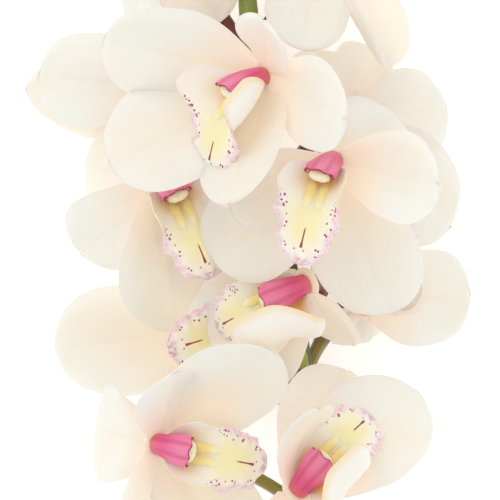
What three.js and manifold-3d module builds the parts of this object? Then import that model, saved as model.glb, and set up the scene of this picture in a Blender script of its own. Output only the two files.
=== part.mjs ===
// A cut cymbidium orchid stem with twelve open flowers, lying on its back petals and its cut end.
// Millimetres. +Z is up from the surface, +Y runs along the stem towards its tip, +X is across it.
import * as THREE from "three";
import { mergeVertices } from "three/addons/utils/BufferGeometryUtils.js";
import Module from "manifold-3d";

const wasm = await Module();
wasm.setup();

// Driving dimensions. Blade shapes: share of the width at the base, and how far along the widest place is.
const SEPAL = { length: 59, width: 41, baseShare: 0.38, widest: 0.58, thickness: 1.3 };
const PETAL = { length: 57, width: 37, baseShare: 0.34, widest: 0.6, thickness: 1.3 };
const BLADE = { start: 2.5, point: 0.06, flatShare: 0.4, widthPower: 0.6 };
// The lip's half widths, and how it bends: out of the flower, forward, then down.
const LIP = { length: 44, thickness: 1.3, start: 1.5, base: 4.5, lobe: 18, waist: 13, apron: 11, end: 0.15 };
const LIP_BEND = [180, 78, -30];
const LIP_CUP = { base: 50, lobes: 84, apron: -25, lobesBy: 0.35, turnFrom: 0.45, turnOver: 0.3 };
// Where along the lip its lobes, waist, apron and rounded end begin, and over what share each grows.
const LIP_PLACES = { lobes: 0.38, waist: 0.45, waistOver: 0.17, apron: 0.64, apronOver: 0.16, end: 0.8 };
const COLUMN = { length: 18, base: 4, tip: 6, baseDepth: 2.9, tipDepth: 3.2, rise: 1.5 };
const COLUMN_STEPS = { along: 5, round: 8 };
const COLUMN_LEAN = { base: 0, tip: 28 };
const BLADE_STEPS = { along: 5, across: 3 };
const LIP_STEPS = { along: 7, across: 4 };
const HUB = { radius: 5.4, thickness: 1.3, sides: 8, sepalLevel: -1.4, petalLevel: 0.4, organLevel: 1.6 };
const STALK = { foot: 2.3, ovary: 3.8, top: -2.5, sides: 6, steps: 6 };
// How far a stalk runs beside the stem and straight behind its flower, and how it turns to the flower.
const STALK_BEND = { beside: 0.3, turn: 0.15, behind: 0.4 };
const STEM = { sides: 8, steps: 20 };
const BRACT = { length: 12, halfWidths: [3.6, 3, 0.8], half: 1, below: 5, sink: 1.2, spread: 4, sides: 6 };
const SHEATH = { length: 52, wrap: 150, tipWrap: 14, clearance: 1.3, flare: 2.2, thickness: 0.9 };
const SHEATHS = [
  { name: "sheath_low", from: -318, turn: 20 },
  { name: "sheath_middle", from: -262, turn: -150 },
  { name: "sheath_high", from: -204, turn: 60 },
];
const BUD = { length: 19, base: 2, tip: 0.6, swell: 3.6, steps: 7 };
const GAP = 0.3;
// The middle of the whole stem's box across and along it, which the part is moved back by.
const CENTRE = { x: -0.4, y: -98.6 };

// The stem's middle line, from the cut end to the tip, with its radius at each point.
const STEM_ROUTE = [
  { at: [14, -350, 5.6], radius: 6.2 },
  { at: [22, -290, 11], radius: 5.8 },
  { at: [26, -220, 19], radius: 5.6 },
  { at: [26, -150, 27], radius: 5.4 },
  { at: [22, -90, 33], radius: 5.2 },
  { at: [18, -40, 36], radius: 5 },
  { at: [9, 20, 37], radius: 4.6 },
  { at: [1, 75, 37], radius: 4 },
  { at: [-3, 120, 42], radius: 2.8 },
];

// Flowers from the lowest on the stem to the highest. hub is where the petals meet, facing is where the
// flower looks, up is the side of its dorsal sepal, and foot is where its stalk leaves the stem along Y.
// Blades: [turn round the hub, lift at the base, lift at the tip, cup, length share], angles in degrees.
const FLOWERS = [
  {
    name: "flower_01", hub: [18, -88.5, 72], facing: [0.42, 0.58, 0.7], up: [-0.62, -0.58, 0.52], foot: -128,
    dorsal: [-35, 0, 10, 24, 1], leftPetal: [-83, 6, 16, 16, 1], rightPetal: [100, 55, 91, 16, 0.66],
    leftSepal: [-172, 31, 23, 20, 1], rightSepal: [159, 19, 11, 20, 0.9],
  },
  {
    name: "flower_02", hub: [-33.5, -72, 66], facing: [0.5, -0.1, 0.85], up: [-1, 0.22, 0.5], foot: -104,
    dorsal: [-10, -88, -100, 24, 0.85], leftPetal: [-98, 4, 4, 16, 1], rightPetal: [68, 30, 44, 16, 0.62],
    leftSepal: [-135, 13, 33, 20, 1], rightSepal: [110, 37, 49, 20, 1],
  },
  {
    name: "flower_03", hub: [42.8, -19.5, 32], facing: [0.35, -0.05, 0.93], up: [-0.1, -1, 0.1], foot: -54,
    dorsal: [-7, -60, -85, 20, 0.5], leftPetal: [-17, -44, -62, 16, 0.42], rightPetal: [11, -45, -63, 16, 0.42],
    leftSepal: [-99, -26, -8, 20, 0.85], rightSepal: [-123, -28, -42, 20, 0.6],
  },
  {
    name: "flower_04", hub: [-8.9, -28, 15], facing: [0.5, 0, 0.86], up: [0.86, 0.26, -0.5], foot: -72,
    dorsal: [21, -9, -15, 20, 0.42], leftPetal: [-139, 43, 37, 16, 0.42], rightPetal: [93, -28, -34, 16, 0.42],
    leftSepal: [132, -8, -18, 20, 0.4], rightSepal: [-175, -26, -32, 20, 1.07],
  },
  {
    name: "flower_05", hub: [20.5, -12.8, 60], facing: [-0.72, -0.28, 0.63], up: [0.52, 0.3, 0.78], foot: -40,
    dorsal: [34, -130, -140, 20, 0.72], leftPetal: [-174, 20, 8, 16, 0.85], rightPetal: [105, -27, -33, 16, 0.52],
    leftSepal: [176, 26, 32, 20, 0.88], rightSepal: [162, 5, 9, 20, 0.92],
  },
  {
    name: "flower_06", hub: [-31.6, 24.8, 48], facing: [0.21, -0.12, 0.97], up: [-0.38, 0.92, 0.15], foot: -10,
    dorsal: [-60, -57, -73, 20, 0.8], leftPetal: [-114, -34, -44, 16, 0.84], rightPetal: [127, -37, -47, 16, 0.7],
    leftSepal: [-164, -11, -13, 20, 0.96], rightSepal: [167, -23, -17, 20, 0.92],
  },
  {
    name: "flower_07", hub: [30.5, 31.5, 82], facing: [-0.25, -0.1, 0.96], up: [0.25, 0.95, 0.1], foot: 0,
    dorsal: [31, -50, -70, 16, 0.66], leftPetal: [-127, -9, -1, 16, 0.72], rightPetal: [81, 23, 35, 16, 0.86],
    leftSepal: [-143, -2, -2, 20, 0.97], rightSepal: [148, -11, -19, 20, 1],
  },
  {
    name: "flower_08", hub: [34, 46, 36], facing: [0.4, 0.1, 0.91], up: [0.2, 0.97, -0.1], foot: 16,
    dorsal: [22, -8, -24, 20, 0.62], leftPetal: [-17, -22, -38, 16, 0.6], rightPetal: [65, -4, -18, 16, 0.85],
    leftSepal: [159, -36, -48, 20, 0.84], rightSepal: [113, -2, -14, 20, 1],
  },
  {
    name: "flower_09", hub: [-28, 62.3, 38], facing: [-0.35, 0.1, 0.93], up: [-0.35, 0.93, -0.1], foot: 34,
    dorsal: [16, -8, -24, 20, 0.48], leftPetal: [-65, 1, -8, 16, 0.97], rightPetal: [65, -42, -56, 16, 0.6],
    leftSepal: [-69, -6, -13, -60, 1.1], rightSepal: [-122, -29, -41, 20, 0.94],
  },
  {
    name: "flower_10", hub: [5, 62.3, 88], facing: [-0.66, -0.12, 0.74], up: [0.33, 0.92, 0.25], foot: 40,
    dorsal: [8, 28, 38, 24, 0.5], leftPetal: [-91, 28, 50, 18, 1.03], rightPetal: [81, 4, 26, 18, 0.88],
    leftSepal: [-145, 32, 48, 20, 1.08], rightSepal: [152, 33, 39, 20, 0.84],
  },
  {
    name: "flower_11", hub: [25, 112, 52], facing: [0.1, 0.75, 0.65], up: [-0.1, -0.65, 0.75], foot: 72,
    dorsal: [0, -22, -38, 20, 0.64], leftPetal: [-53, -30, -48, 110, 0.88], rightPetal: [78, 0, 12, 16, 0.9],
    leftSepal: [-135, -6, 6, 20, 0.95], rightSepal: [128, -8, 4, 20, 0.95],
  },
  {
    name: "flower_12", hub: [-31.5, 117.5, 50], facing: [-0.3, 0.7, 0.65], up: [0.1, -0.65, 0.7], foot: 64,
    dorsal: [-20, -52, -74, 20, 0.62], leftPetal: [-88, -4, -14, 16, 0.85], rightPetal: [67, -45, -62, 16, 0.68],
    leftSepal: [-133, -10, -22, 20, 0.92], rightSepal: [150, 5, 15, 20, 0.95],
  },
];

const radians = THREE.MathUtils.degToRad;
const clamp = THREE.MathUtils.clamp;
const lerp = THREE.MathUtils.lerp;
const smooth = (x) => THREE.MathUtils.smoothstep(x, 0, 1);
const vector = (list) => new THREE.Vector3(...list);

// The flower's own axes: n looks out of the flower, u is its dorsal side, r is the viewer's right.
function flowerFrame(flower) {
  const n = vector(flower.facing).normalize();
  const u = vector(flower.up).addScaledVector(n, -vector(flower.up).dot(n)).normalize();
  const r = new THREE.Vector3().crossVectors(u, n);
  return { hub: vector(flower.hub), n, u, r };
}

// Rows along a sheet stand closer together towards its tip, where the outline turns fastest.
const rowAt = (i, count) => Math.sin((Math.PI / 2) * (i / count));

// A closed sheet of even thickness about a middle surface, given as a function of s (0 to 1 along it) and
// t (-1 to 1 across it) that returns a point and the normal of its front.
function sheet(middle, thickness, steps) {
  const positions = [];
  const index = [];
  const row = steps.across + 1;
  const side = (steps.along + 1) * row;
  for (const face of [0.5, -0.5]) {
    for (let i = 0; i <= steps.along; i++) {
      for (let j = 0; j <= steps.across; j++) {
        const { point, normal } = middle(rowAt(i, steps.along), (2 * j) / steps.across - 1);
        point.addScaledVector(normal, face * thickness);
        positions.push(point.x, point.y, point.z);
      }
    }
  }
  for (let i = 0; i < steps.along; i++) {
    for (let j = 0; j < steps.across; j++) {
      const a = i * row + j;
      const corners = [a, a + row, a + row + 1, a + 1];
      index.push(corners[0], corners[1], corners[2], corners[0], corners[2], corners[3]);
      const back = corners.map((corner) => corner + side);
      index.push(back[0], back[2], back[1], back[0], back[3], back[2]);
    }
  }
  const rim = [];
  for (let i = 0; i < steps.along; i++) rim.push(i * row);
  for (let j = 0; j < steps.across; j++) rim.push(steps.along * row + j);
  for (let i = steps.along; i > 0; i--) rim.push(i * row + steps.across);
  for (let j = steps.across; j > 0; j--) rim.push(j);
  rim.forEach((a, k) => {
    const b = rim[(k + 1) % rim.length];
    index.push(b, a, a + side, b, a + side, b + side);
  });
  return solid(positions, index);
}

function solid(positions, index) {
  const mesh = new wasm.Mesh({
    numProp: 3,
    vertProperties: new Float32Array(positions),
    triVerts: new Uint32Array(index),
  });
  return new wasm.Manifold(mesh);
}

function solidOf(geometry) {
  geometry.deleteAttribute("normal");
  geometry.deleteAttribute("uv");
  const merged = mergeVertices(geometry, 1e-4);
  return solid(merged.attributes.position.array, merged.index.array);
}

// A middle line that leaves the flower's axis in direction d and bends evenly from one lift to another.
// Lift is measured from d towards n. The line's place at share s is the sum of its bends.
function bladeMiddle(frame, blade, shape) {
  const [turn, liftBase, liftTip] = blade.bend;
  const d = frame.u.clone().multiplyScalar(Math.cos(radians(turn)));
  d.addScaledVector(frame.r, Math.sin(radians(turn)));
  const e = new THREE.Vector3().crossVectors(frame.n, d);
  const start = radians(liftBase);
  const bend = radians(liftTip) - start || 1e-6;
  return (s, t) => {
    const lift = start + bend * s;
    const out = blade.start + (shape.length / bend) * (Math.sin(lift) - Math.sin(start));
    const high = blade.level - (shape.length / bend) * (Math.cos(lift) - Math.cos(start));
    const normal = d.clone().multiplyScalar(-Math.sin(lift)).addScaledVector(frame.n, Math.cos(lift));
    const half = shape.half(s);
    const cup = radians(shape.cup(s)) || 1e-6;
    const point = frame.hub.clone().addScaledVector(d, out).addScaledVector(frame.n, high);
    point.addScaledVector(e, (half / cup) * Math.sin(cup * t));
    point.addScaledVector(normal, (half / cup) * (1 - Math.cos(cup * t)));
    const front = normal.multiplyScalar(Math.cos(cup * t)).addScaledVector(e, -Math.sin(cup * t));
    return { point, normal: front };
  };
}

// Half the width of a sepal or petal: a narrow claw that swells, then a round end with a small point.
function bladeHalf(kind, s) {
  const swell = Math.sin((Math.PI / 2) * clamp(s / kind.widest, 0, 1));
  const past = clamp((s - kind.widest) / (1 - kind.widest), 0, 1);
  const round = Math.max(Math.sqrt(1 - past * past), BLADE.point);
  return (kind.width / 2) * lerp(kind.baseShare, 1, swell) * round;
}

function bladeSolid(frame, kind, level, numbers, extra) {
  const [turn, liftBase, liftTip, cup, share] = numbers;
  const shape = {
    length: kind.length * share + 2 * extra,
    half: (s) => bladeHalf(kind, s) * share ** BLADE.widthPower + extra,
    cup: (s) => cup * smooth(s / BLADE.flatShare),
  };
  const blade = { bend: [turn, liftBase, liftTip], start: BLADE.start - extra, level };
  return sheet(bladeMiddle(frame, blade, shape), kind.thickness + 2 * extra, BLADE_STEPS);
}

// The round plate where sepals or petals grow together.
function hubPlate(frame, level, extra) {
  const plate = new THREE.CylinderGeometry(HUB.radius, HUB.radius, HUB.thickness + 2 * extra, HUB.sides);
  plate.rotateX(Math.PI / 2).translate(0, 0, level);
  plate.applyMatrix4(new THREE.Matrix4().makeBasis(frame.r, frame.u, frame.n).setPosition(frame.hub));
  return solidOf(plate);
}

function sepalRing(flower, extra) {
  const frame = flowerFrame(flower);
  return ["dorsal", "leftSepal", "rightSepal"].reduce(
    (ring, side) => ring.add(bladeSolid(frame, SEPAL, HUB.sepalLevel, flower[side], extra)),
    hubPlate(frame, HUB.sepalLevel, extra),
  );
}

function petalPair(flower, extra) {
  const frame = flowerFrame(flower);
  return ["leftPetal", "rightPetal"].reduce(
    (pair, side) => pair.add(bladeSolid(frame, PETAL, HUB.petalLevel, flower[side], extra)),
    hubPlate(frame, HUB.petalLevel, extra),
  );
}

// The lip: side lobes stand up beside the column, then the apron turns down and its edges roll back.
function lipSolid(flower, extra) {
  const frame = flowerFrame(flower);
  const shape = {
    length: LIP.length + 2 * extra,
    half: (s) => {
      const { lobes, waist, waistOver, apron, apronOver, end } = LIP_PLACES;
      const lobeHalf = lerp(LIP.base, LIP.lobe, smooth(s / lobes));
      const waistHalf = lerp(lobeHalf, LIP.waist, smooth((s - waist) / waistOver));
      const apronHalf = lerp(waistHalf, LIP.apron, smooth((s - apron) / apronOver));
      const past = clamp((s - end) / (1 - end), 0, 1);
      return apronHalf * Math.max(Math.sqrt(1 - past * past), LIP.end) + extra;
    },
    cup: (s) => {
      const lobes = lerp(LIP_CUP.base, LIP_CUP.lobes, smooth(s / LIP_CUP.lobesBy));
      return lerp(lobes, LIP_CUP.apron, smooth((s - LIP_CUP.turnFrom) / LIP_CUP.turnOver));
    },
  };
  const place = { bend: LIP_BEND, start: LIP.start, level: HUB.organLevel - extra };
  const middle = bladeMiddle(frame, place, shape);
  return sheet(middle, LIP.thickness + 2 * extra, LIP_STEPS);
}

// A closed tube of rings; each ring is given by its middle, its two half axes and a share round it.
function tube(rings, sides) {
  const positions = [];
  const index = [];
  for (const ring of rings) {
    for (let k = 0; k < sides; k++) {
      const angle = (2 * Math.PI * k) / sides;
      const point = ring.middle.clone();
      point.addScaledVector(ring.x, Math.cos(angle)).addScaledVector(ring.y, Math.sin(angle));
      positions.push(point.x, point.y, point.z);
    }
  }
  for (let i = 0; i + 1 < rings.length; i++) {
    for (let k = 0; k < sides; k++) {
      const a = i * sides + k;
      const b = i * sides + ((k + 1) % sides);
      index.push(a, b, b + sides, a, b + sides, a + sides);
    }
  }
  const last = (rings.length - 1) * sides;
  for (let k = 1; k + 1 < sides; k++) {
    index.push(0, k + 1, k, last, last + k, last + k + 1);
  }
  return solid(positions, index);
}

// The column: arches forward over the lip, widening to its hooded end.
function columnSolid(flower, extra) {
  const frame = flowerFrame(flower);
  const first = radians(COLUMN_LEAN.base);
  const span = COLUMN.length / radians(COLUMN_LEAN.tip - COLUMN_LEAN.base);
  const rings = [];
  for (let i = 0; i <= COLUMN_STEPS.along; i++) {
    const s = i / COLUMN_STEPS.along;
    const lean = lerp(first, radians(COLUMN_LEAN.tip), s);
    const out = HUB.organLevel - extra + span * (Math.sin(lean) - Math.sin(first)) + 2 * extra * s;
    const high = COLUMN.rise + span * (Math.cos(lean) - Math.cos(first));
    const middle = frame.hub.clone().addScaledVector(frame.n, out).addScaledVector(frame.u, high);
    const across = lerp(COLUMN.base, COLUMN.tip, s ** 1.5) + extra;
    const depth = lerp(COLUMN.baseDepth, COLUMN.tipDepth, s) + extra;
    const y = frame.u.clone().multiplyScalar(Math.cos(lean)).addScaledVector(frame.n, Math.sin(lean));
    rings.push({ middle, x: frame.r.clone().multiplyScalar(across), y: y.multiplyScalar(depth) });
  }
  return tube(rings, COLUMN_STEPS.round);
}

const stemCurve = new THREE.CatmullRomCurve3(STEM_ROUTE.map((stop) => vector(stop.at)), false, "centripetal");

function stemRadius(share) {
  const place = share * (STEM_ROUTE.length - 1);
  const i = Math.min(Math.floor(place), STEM_ROUTE.length - 2);
  return lerp(STEM_ROUTE[i].radius, STEM_ROUTE[i + 1].radius, place - i);
}

// Rings square to a curve. Each is turned as little as possible from the one before, so none twists.
function ringsAlong(curve, radius, steps) {
  const rings = [];
  const above = new THREE.Vector3(0, 0, 1);
  for (let i = 0; i <= steps; i++) {
    const s = i / steps;
    const ahead = curve.getTangent(s);
    above.addScaledVector(ahead, -above.dot(ahead)).normalize();
    const x = new THREE.Vector3().crossVectors(above, ahead).multiplyScalar(radius(s));
    rings.push({ middle: curve.getPoint(s), x, y: above.clone().multiplyScalar(radius(s)) });
  }
  return rings;
}

function stemSolid(extra) {
  return tube(ringsAlong(stemCurve, (s) => stemRadius(s) + extra, STEM.steps), STEM.sides);
}

// The point of the stem's middle line at a given Y.
function stemPoint(y) {
  let low = 0;
  let high = 1;
  for (let k = 0; k < 30; k++) {
    const half = (low + high) / 2;
    if (stemCurve.getPoint(half).y < y) low = half;
    else high = half;
  }
  return { at: stemCurve.getPoint(low), ahead: stemCurve.getTangent(low), radius: stemRadius(low) };
}

// A flower's stalk, from the stem to the back of the flower, swelling into the ovary.
function stalkSolid(flower, extra) {
  const frame = flowerFrame(flower);
  const foot = stemPoint(flower.foot);
  const top = frame.hub.clone().addScaledVector(frame.n, STALK.top);
  const reach = top.distanceTo(foot.at);
  const curve = new THREE.CubicBezierCurve3(
    foot.at,
    foot.at.clone().addScaledVector(foot.ahead, reach * STALK_BEND.beside).lerp(top, STALK_BEND.turn),
    top.clone().addScaledVector(frame.n, -reach * STALK_BEND.behind),
    top,
  );
  const swell = (s) => Math.sin(Math.PI * clamp(s * 1.15 - 0.3, 0, 1)) ** 2;
  const radius = (s) => lerp(STALK.foot, STALK.ovary, swell(s)) + extra;
  return tube(ringsAlong(curve, radius, STALK.steps), STALK.sides);
}

// A small scale leaf under each flower stalk, growing out of the stem beside the stalk.
function bractSolid(flower, extra) {
  const foot = stemPoint(flower.foot - BRACT.below);
  const lean = flowerFrame(flower).hub.sub(foot.at).setComponent(1, 0).normalize();
  const side = new THREE.Vector3().crossVectors(foot.ahead, lean).normalize();
  const rings = BRACT.halfWidths.map((half, i) => {
    const s = i / (BRACT.halfWidths.length - 1);
    const middle = foot.at.clone().addScaledVector(foot.ahead, BRACT.length * s);
    middle.addScaledVector(lean, foot.radius - BRACT.sink + BRACT.spread * s);
    const thick = new THREE.Vector3().crossVectors(side, foot.ahead).multiplyScalar(-BRACT.half - extra);
    return { middle, x: side.clone().multiplyScalar(half + extra), y: thick };
  });
  return tube(rings, BRACT.sides);
}

// A sheath that clasps the lower stem like a rolled leaf, opening to a point.
function sheathSolid(sheath) {
  const foot = stemPoint(sheath.from);
  const across = new THREE.Vector3(0, 0, 1).cross(foot.ahead).normalize();
  const above = new THREE.Vector3().crossVectors(foot.ahead, across);
  const middle = (s, t) => {
    const here = stemPoint(sheath.from + SHEATH.length * s);
    const angle = radians(sheath.turn) + t * radians(lerp(SHEATH.wrap, SHEATH.tipWrap, s ** 1.5));
    const normal = above.clone().multiplyScalar(Math.cos(angle)).addScaledVector(across, Math.sin(angle));
    const radius = here.radius + SHEATH.clearance + SHEATH.flare * s * s;
    return { point: here.at.clone().addScaledVector(normal, radius), normal };
  };
  return sheet(middle, SHEATH.thickness, { along: 5, across: 8 });
}

// The unopened bud at the tip of the stem.
function budSolid() {
  const base = stemCurve.getPoint(1);
  const ahead = stemCurve.getTangent(1);
  const curve = new THREE.LineCurve3(
    base.clone().addScaledVector(ahead, GAP),
    base.clone().addScaledVector(ahead, BUD.length),
  );
  const radius = (s) => lerp(BUD.base, BUD.tip, s) + BUD.swell * Math.sin(Math.PI * s);
  return tube(ringsAlong(curve, radius, BUD.steps), STEM.sides);
}

// What a piece loses to the pieces that lie over it: each is cut back to leave a small gap.
function clearOf(body, neighbours) {
  const box = boxOf(body);
  for (const other of neighbours) {
    if (box.intersectsBox(boxOf(other))) body = body.subtract(other);
  }
  const parts = body.decompose();
  return parts.reduce((largest, part) => (part.volume() > largest.volume() ? part : largest));
}

function boxOf(body) {
  const { min, max } = body.boundingBox();
  return new THREE.Box3(vector(min), vector(max));
}

// Nothing reaches below the surface: what would is cut flat there.
const floor = solidOf(new THREE.BoxGeometry(600, 1200, 60).translate(0, -100, -30));

const stem = (extra) =>
  FLOWERS.reduce(
    (all, flower) => all.add(stalkSolid(flower, extra)).add(bractSolid(flower, extra)),
    stemSolid(extra),
  );
const cutters = [floor, stem(GAP)];
const bodies = [["stem", clearOf(stem(0), [floor])]];

// From the flower that lies on top to the ones it lies over.
const ORDER = ["10", "07", "01", "05", "02", "06", "12", "11", "03", "08", "04", "09"];
const ORGANS = { column: columnSolid, lip: lipSolid };
const SEGMENTS = { petals: petalPair, sepals: sepalRing };
// Every column and lip is kept whole; the petals and sepals that meet them are cut back.
for (const pieces of [ORGANS, SEGMENTS]) {
  for (const number of ORDER) {
    const flower = FLOWERS.find((one) => one.name.endsWith(number));
    for (const [piece, make] of Object.entries(pieces)) {
      const body = clearOf(make(flower, 0), cutters);
      bodies.push([`${flower.name}_${piece}`, body]);
      cutters.push(make(flower, GAP), body);
    }
  }
}
for (const sheath of SHEATHS) bodies.push([sheath.name, clearOf(sheathSolid(sheath), cutters)]);
bodies.push(["bud", clearOf(budSolid(), cutters)]);

const FINISH = {
  stem: { color: 0x5a6430, roughness: 0.5 },
  sheath: { color: 0x98a062, roughness: 0.6 },
  bud: { color: 0xbfc08a, roughness: 0.5 },
  sepals: { color: 0xefe6d6, roughness: 0.45 },
  petals: { color: 0xf3eadb, roughness: 0.45 },
  lip: { color: 0xf2ddb4, roughness: 0.5 },
  column: { color: 0xdf6d8f, roughness: 0.35 },
};
const materials = {};
for (const [piece, look] of Object.entries(FINISH)) {
  materials[piece] = new THREE.MeshStandardMaterial({ ...look, metalness: 0, name: piece });
}

const group = new THREE.Group();
for (const [name, body] of bodies) {
  const mesh = body.translate([-CENTRE.x, -CENTRE.y, 0]).getMesh();
  const geometry = new THREE.BufferGeometry();
  geometry.setAttribute("position", new THREE.BufferAttribute(mesh.vertProperties, 3));
  geometry.setIndex(new THREE.BufferAttribute(mesh.triVerts, 1));
  const piece = Object.keys(FINISH).find((word) => name.includes(word));
  const item = new THREE.Mesh(geometry, materials[piece]);
  item.name = name;
  group.add(item);
}
export default group;
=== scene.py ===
import bpy
import numpy as np
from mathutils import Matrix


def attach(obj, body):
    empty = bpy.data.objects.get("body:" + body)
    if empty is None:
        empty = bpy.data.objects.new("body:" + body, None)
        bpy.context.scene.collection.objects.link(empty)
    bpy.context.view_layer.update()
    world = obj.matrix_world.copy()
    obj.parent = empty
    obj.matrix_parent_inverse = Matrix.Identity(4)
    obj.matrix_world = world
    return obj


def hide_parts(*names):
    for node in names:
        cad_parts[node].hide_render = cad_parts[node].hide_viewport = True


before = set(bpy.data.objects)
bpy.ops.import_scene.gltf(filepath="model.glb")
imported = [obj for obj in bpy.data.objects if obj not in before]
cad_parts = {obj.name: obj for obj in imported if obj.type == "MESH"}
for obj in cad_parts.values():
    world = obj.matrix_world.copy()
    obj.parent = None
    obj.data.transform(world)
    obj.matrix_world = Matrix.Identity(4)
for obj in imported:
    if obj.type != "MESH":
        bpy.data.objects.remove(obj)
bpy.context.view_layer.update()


# -------- the stem
# The rachis: a fleshy green stalk as thick as a finger at its cut end, faintly ribbed, thinner and
# paler towards the tip. It lies on the underside of its cut end; everything else grows from it.
# CENTRE is the place on the plant that is the frame's origin. The route is the stem's middle from the
# cut end to the tip, with the radius at each of its points (mm).
CENTRE = np.array([-0.4, -98.6, 0.0])
STEM_ROUTE = np.array([
    [14, -350, 5.6], [22, -290, 11], [26, -220, 19], [26, -150, 27], [22, -90, 33],
    [18, -40, 36], [9, 20, 37], [1, 75, 37], [-3, 120, 42],
], dtype=float)
STEM_RADII = np.array([6.2, 5.8, 5.6, 5.4, 5.2, 5, 4.6, 4, 2.8])
STEM_RIBS, STEM_RIB_DEPTH = 9, 0.018
STEM_RINGS, STEM_SIDES, STEM_STEPS = 260, 54, 2001
MILLIMETRE = 0.001


def stem_line(share):
    """Points at these shares along the stem: a centripetal Catmull-Rom curve through the route."""
    before = 2 * STEM_ROUTE[0] - STEM_ROUTE[1]
    beyond = 2 * STEM_ROUTE[-1] - STEM_ROUTE[-2]
    route = np.vstack([before, STEM_ROUTE, beyond])
    place = np.asarray(share) * (len(STEM_ROUTE) - 1)
    i = np.minimum(place.astype(int), len(STEM_ROUTE) - 2)
    w = (place - i)[:, None]
    a, b, c, d = (route[i + k] for k in range(4))
    ab, bc, cd = (np.sqrt(np.linalg.norm(q - p, axis=1))[:, None] for p, q in ((a, b), (b, c), (c, d)))
    start = ((b - a) / ab - (c - a) / (ab + bc) + (c - b) / bc) * bc
    end = ((c - b) / bc - (d - b) / (bc + cd) + (d - c) / cd) * bc
    return b + w * start + w**2 * (3 * (c - b) - 2 * start - end) + w**3 * (2 * (b - c) + start + end)


def stem_radius(share):
    """Radius at these shares along the stem: straight lines between the radii at the route's points."""
    return np.interp(share * (len(STEM_RADII) - 1), np.arange(len(STEM_RADII)), STEM_RADII)


def stem_at(y):
    """Point, direction and radius of the stem where it passes the given Y."""
    share = np.linspace(0, 1, STEM_STEPS)
    here = np.interp(y, stem_line(share)[:, 1], share)
    step = 1e-4
    near = stem_line(np.array([here - step, here, here + step]).clip(0, 1))
    ahead = near[2] - near[0]
    return near[1], ahead / np.linalg.norm(ahead), stem_radius(here)


def unit(v):
    """Each vector divided by its length, which is kept off zero."""
    return v / np.maximum(np.linalg.norm(v, axis=-1, keepdims=True), 1e-12)


def wrap(rings):
    """UV values for rings that go once round a piece: 0 to 1 round it, and 0 to 1 along it."""
    count, places = rings.shape[:2]
    around, along = np.linspace(0, 1, places + 1), np.linspace(0, 1, count)[:, None]
    return np.broadcast_to(around, (count, places + 1)), np.broadcast_to(along, (count, places + 1))


def shell(name, rings, material, slot, *nodes, uv=None, marks=None):
    """A closed skin through rings of points (ring, place, xyz), the first and last ring filled in.

    uv is the piece's own two coordinates at each ring and place, round it and along it. marks holds
    more of them: single numbers for each point, or a pair that makes another UV map. The skin is
    moved from the plant's millimetres to the frame, and none of it goes below the table.
    """
    count, places = rings.shape[:2]
    points = (rings - CENTRE).reshape(-1, 3) * MILLIMETRE
    points[:, 2] = points[:, 2].clip(0)
    i, k = (g.ravel() for g in np.meshgrid(np.arange(count - 1), np.arange(places), indexing="ij"))
    after = (k + 1) % places
    here, ahead = i * places, (i + 1) * places
    quads = np.stack([here + k, here + after, ahead + after, ahead + k], 1)
    ring = np.arange(places)
    ends = [ring[::-1].tolist(), (ring + (count - 1) * places).tolist()]
    mesh = bpy.data.meshes.new(name)
    mesh.from_pydata(points.tolist(), [], quads.tolist() + ends)
    for key, value in {"surface": uv or wrap(rings), **(marks or {})}.items():
        if isinstance(value, tuple):
            pair = np.stack(value, axis=-1)
            sides = np.stack([pair[i, k], pair[i, k + 1], pair[i + 1, k + 1], pair[i + 1, k]], 1)
            corners = np.vstack([sides.reshape(-1, 2), pair[0, ring[::-1]], pair[-1, ring]])
            mesh.uv_layers.new(name=key).data.foreach_set("uv", corners.ravel())
        else:
            mesh.attributes.new(key, "FLOAT", "POINT").data.foreach_set("value", value.ravel())
    mesh.shade_smooth()
    mesh.materials.append(material)
    piece = bpy.data.objects.new(name, mesh)
    bpy.context.scene.collection.objects.link(piece)
    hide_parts(*nodes)
    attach(piece, "root")


def round_the(places):
    """Angles of this many places round a ring, evenly spaced."""
    return np.arange(places) * 2 * np.pi / places


def rings_about(line, across, x, above, y):
    """Rings of points: from each point of the line, x along the across axis and y along the above axis."""
    return line[:, None] + x[..., None] * across + y[..., None] * above


def round_stalk(line, radius, sides, ribs=0, depth=0.0):
    """Rings round a line: circles of the given radius, square to the line, with shallow ribs.

    Each ring is turned as little as possible from the one before it, so the skin doesn't twist.
    """
    ahead = unit(np.gradient(line, axis=0))
    y = np.zeros_like(line)
    above = np.array([0.0, 0.0, 1.0])
    for i, direction in enumerate(ahead):
        above = unit(above - direction * (above @ direction))
        y[i] = above
    x = np.cross(y, ahead)
    angle = round_the(sides)
    r = radius[:, None] * (1 + depth * np.cos(ribs * angle))
    return rings_about(line, x[:, None], r * np.cos(angle), y[:, None], r * np.sin(angle))


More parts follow.
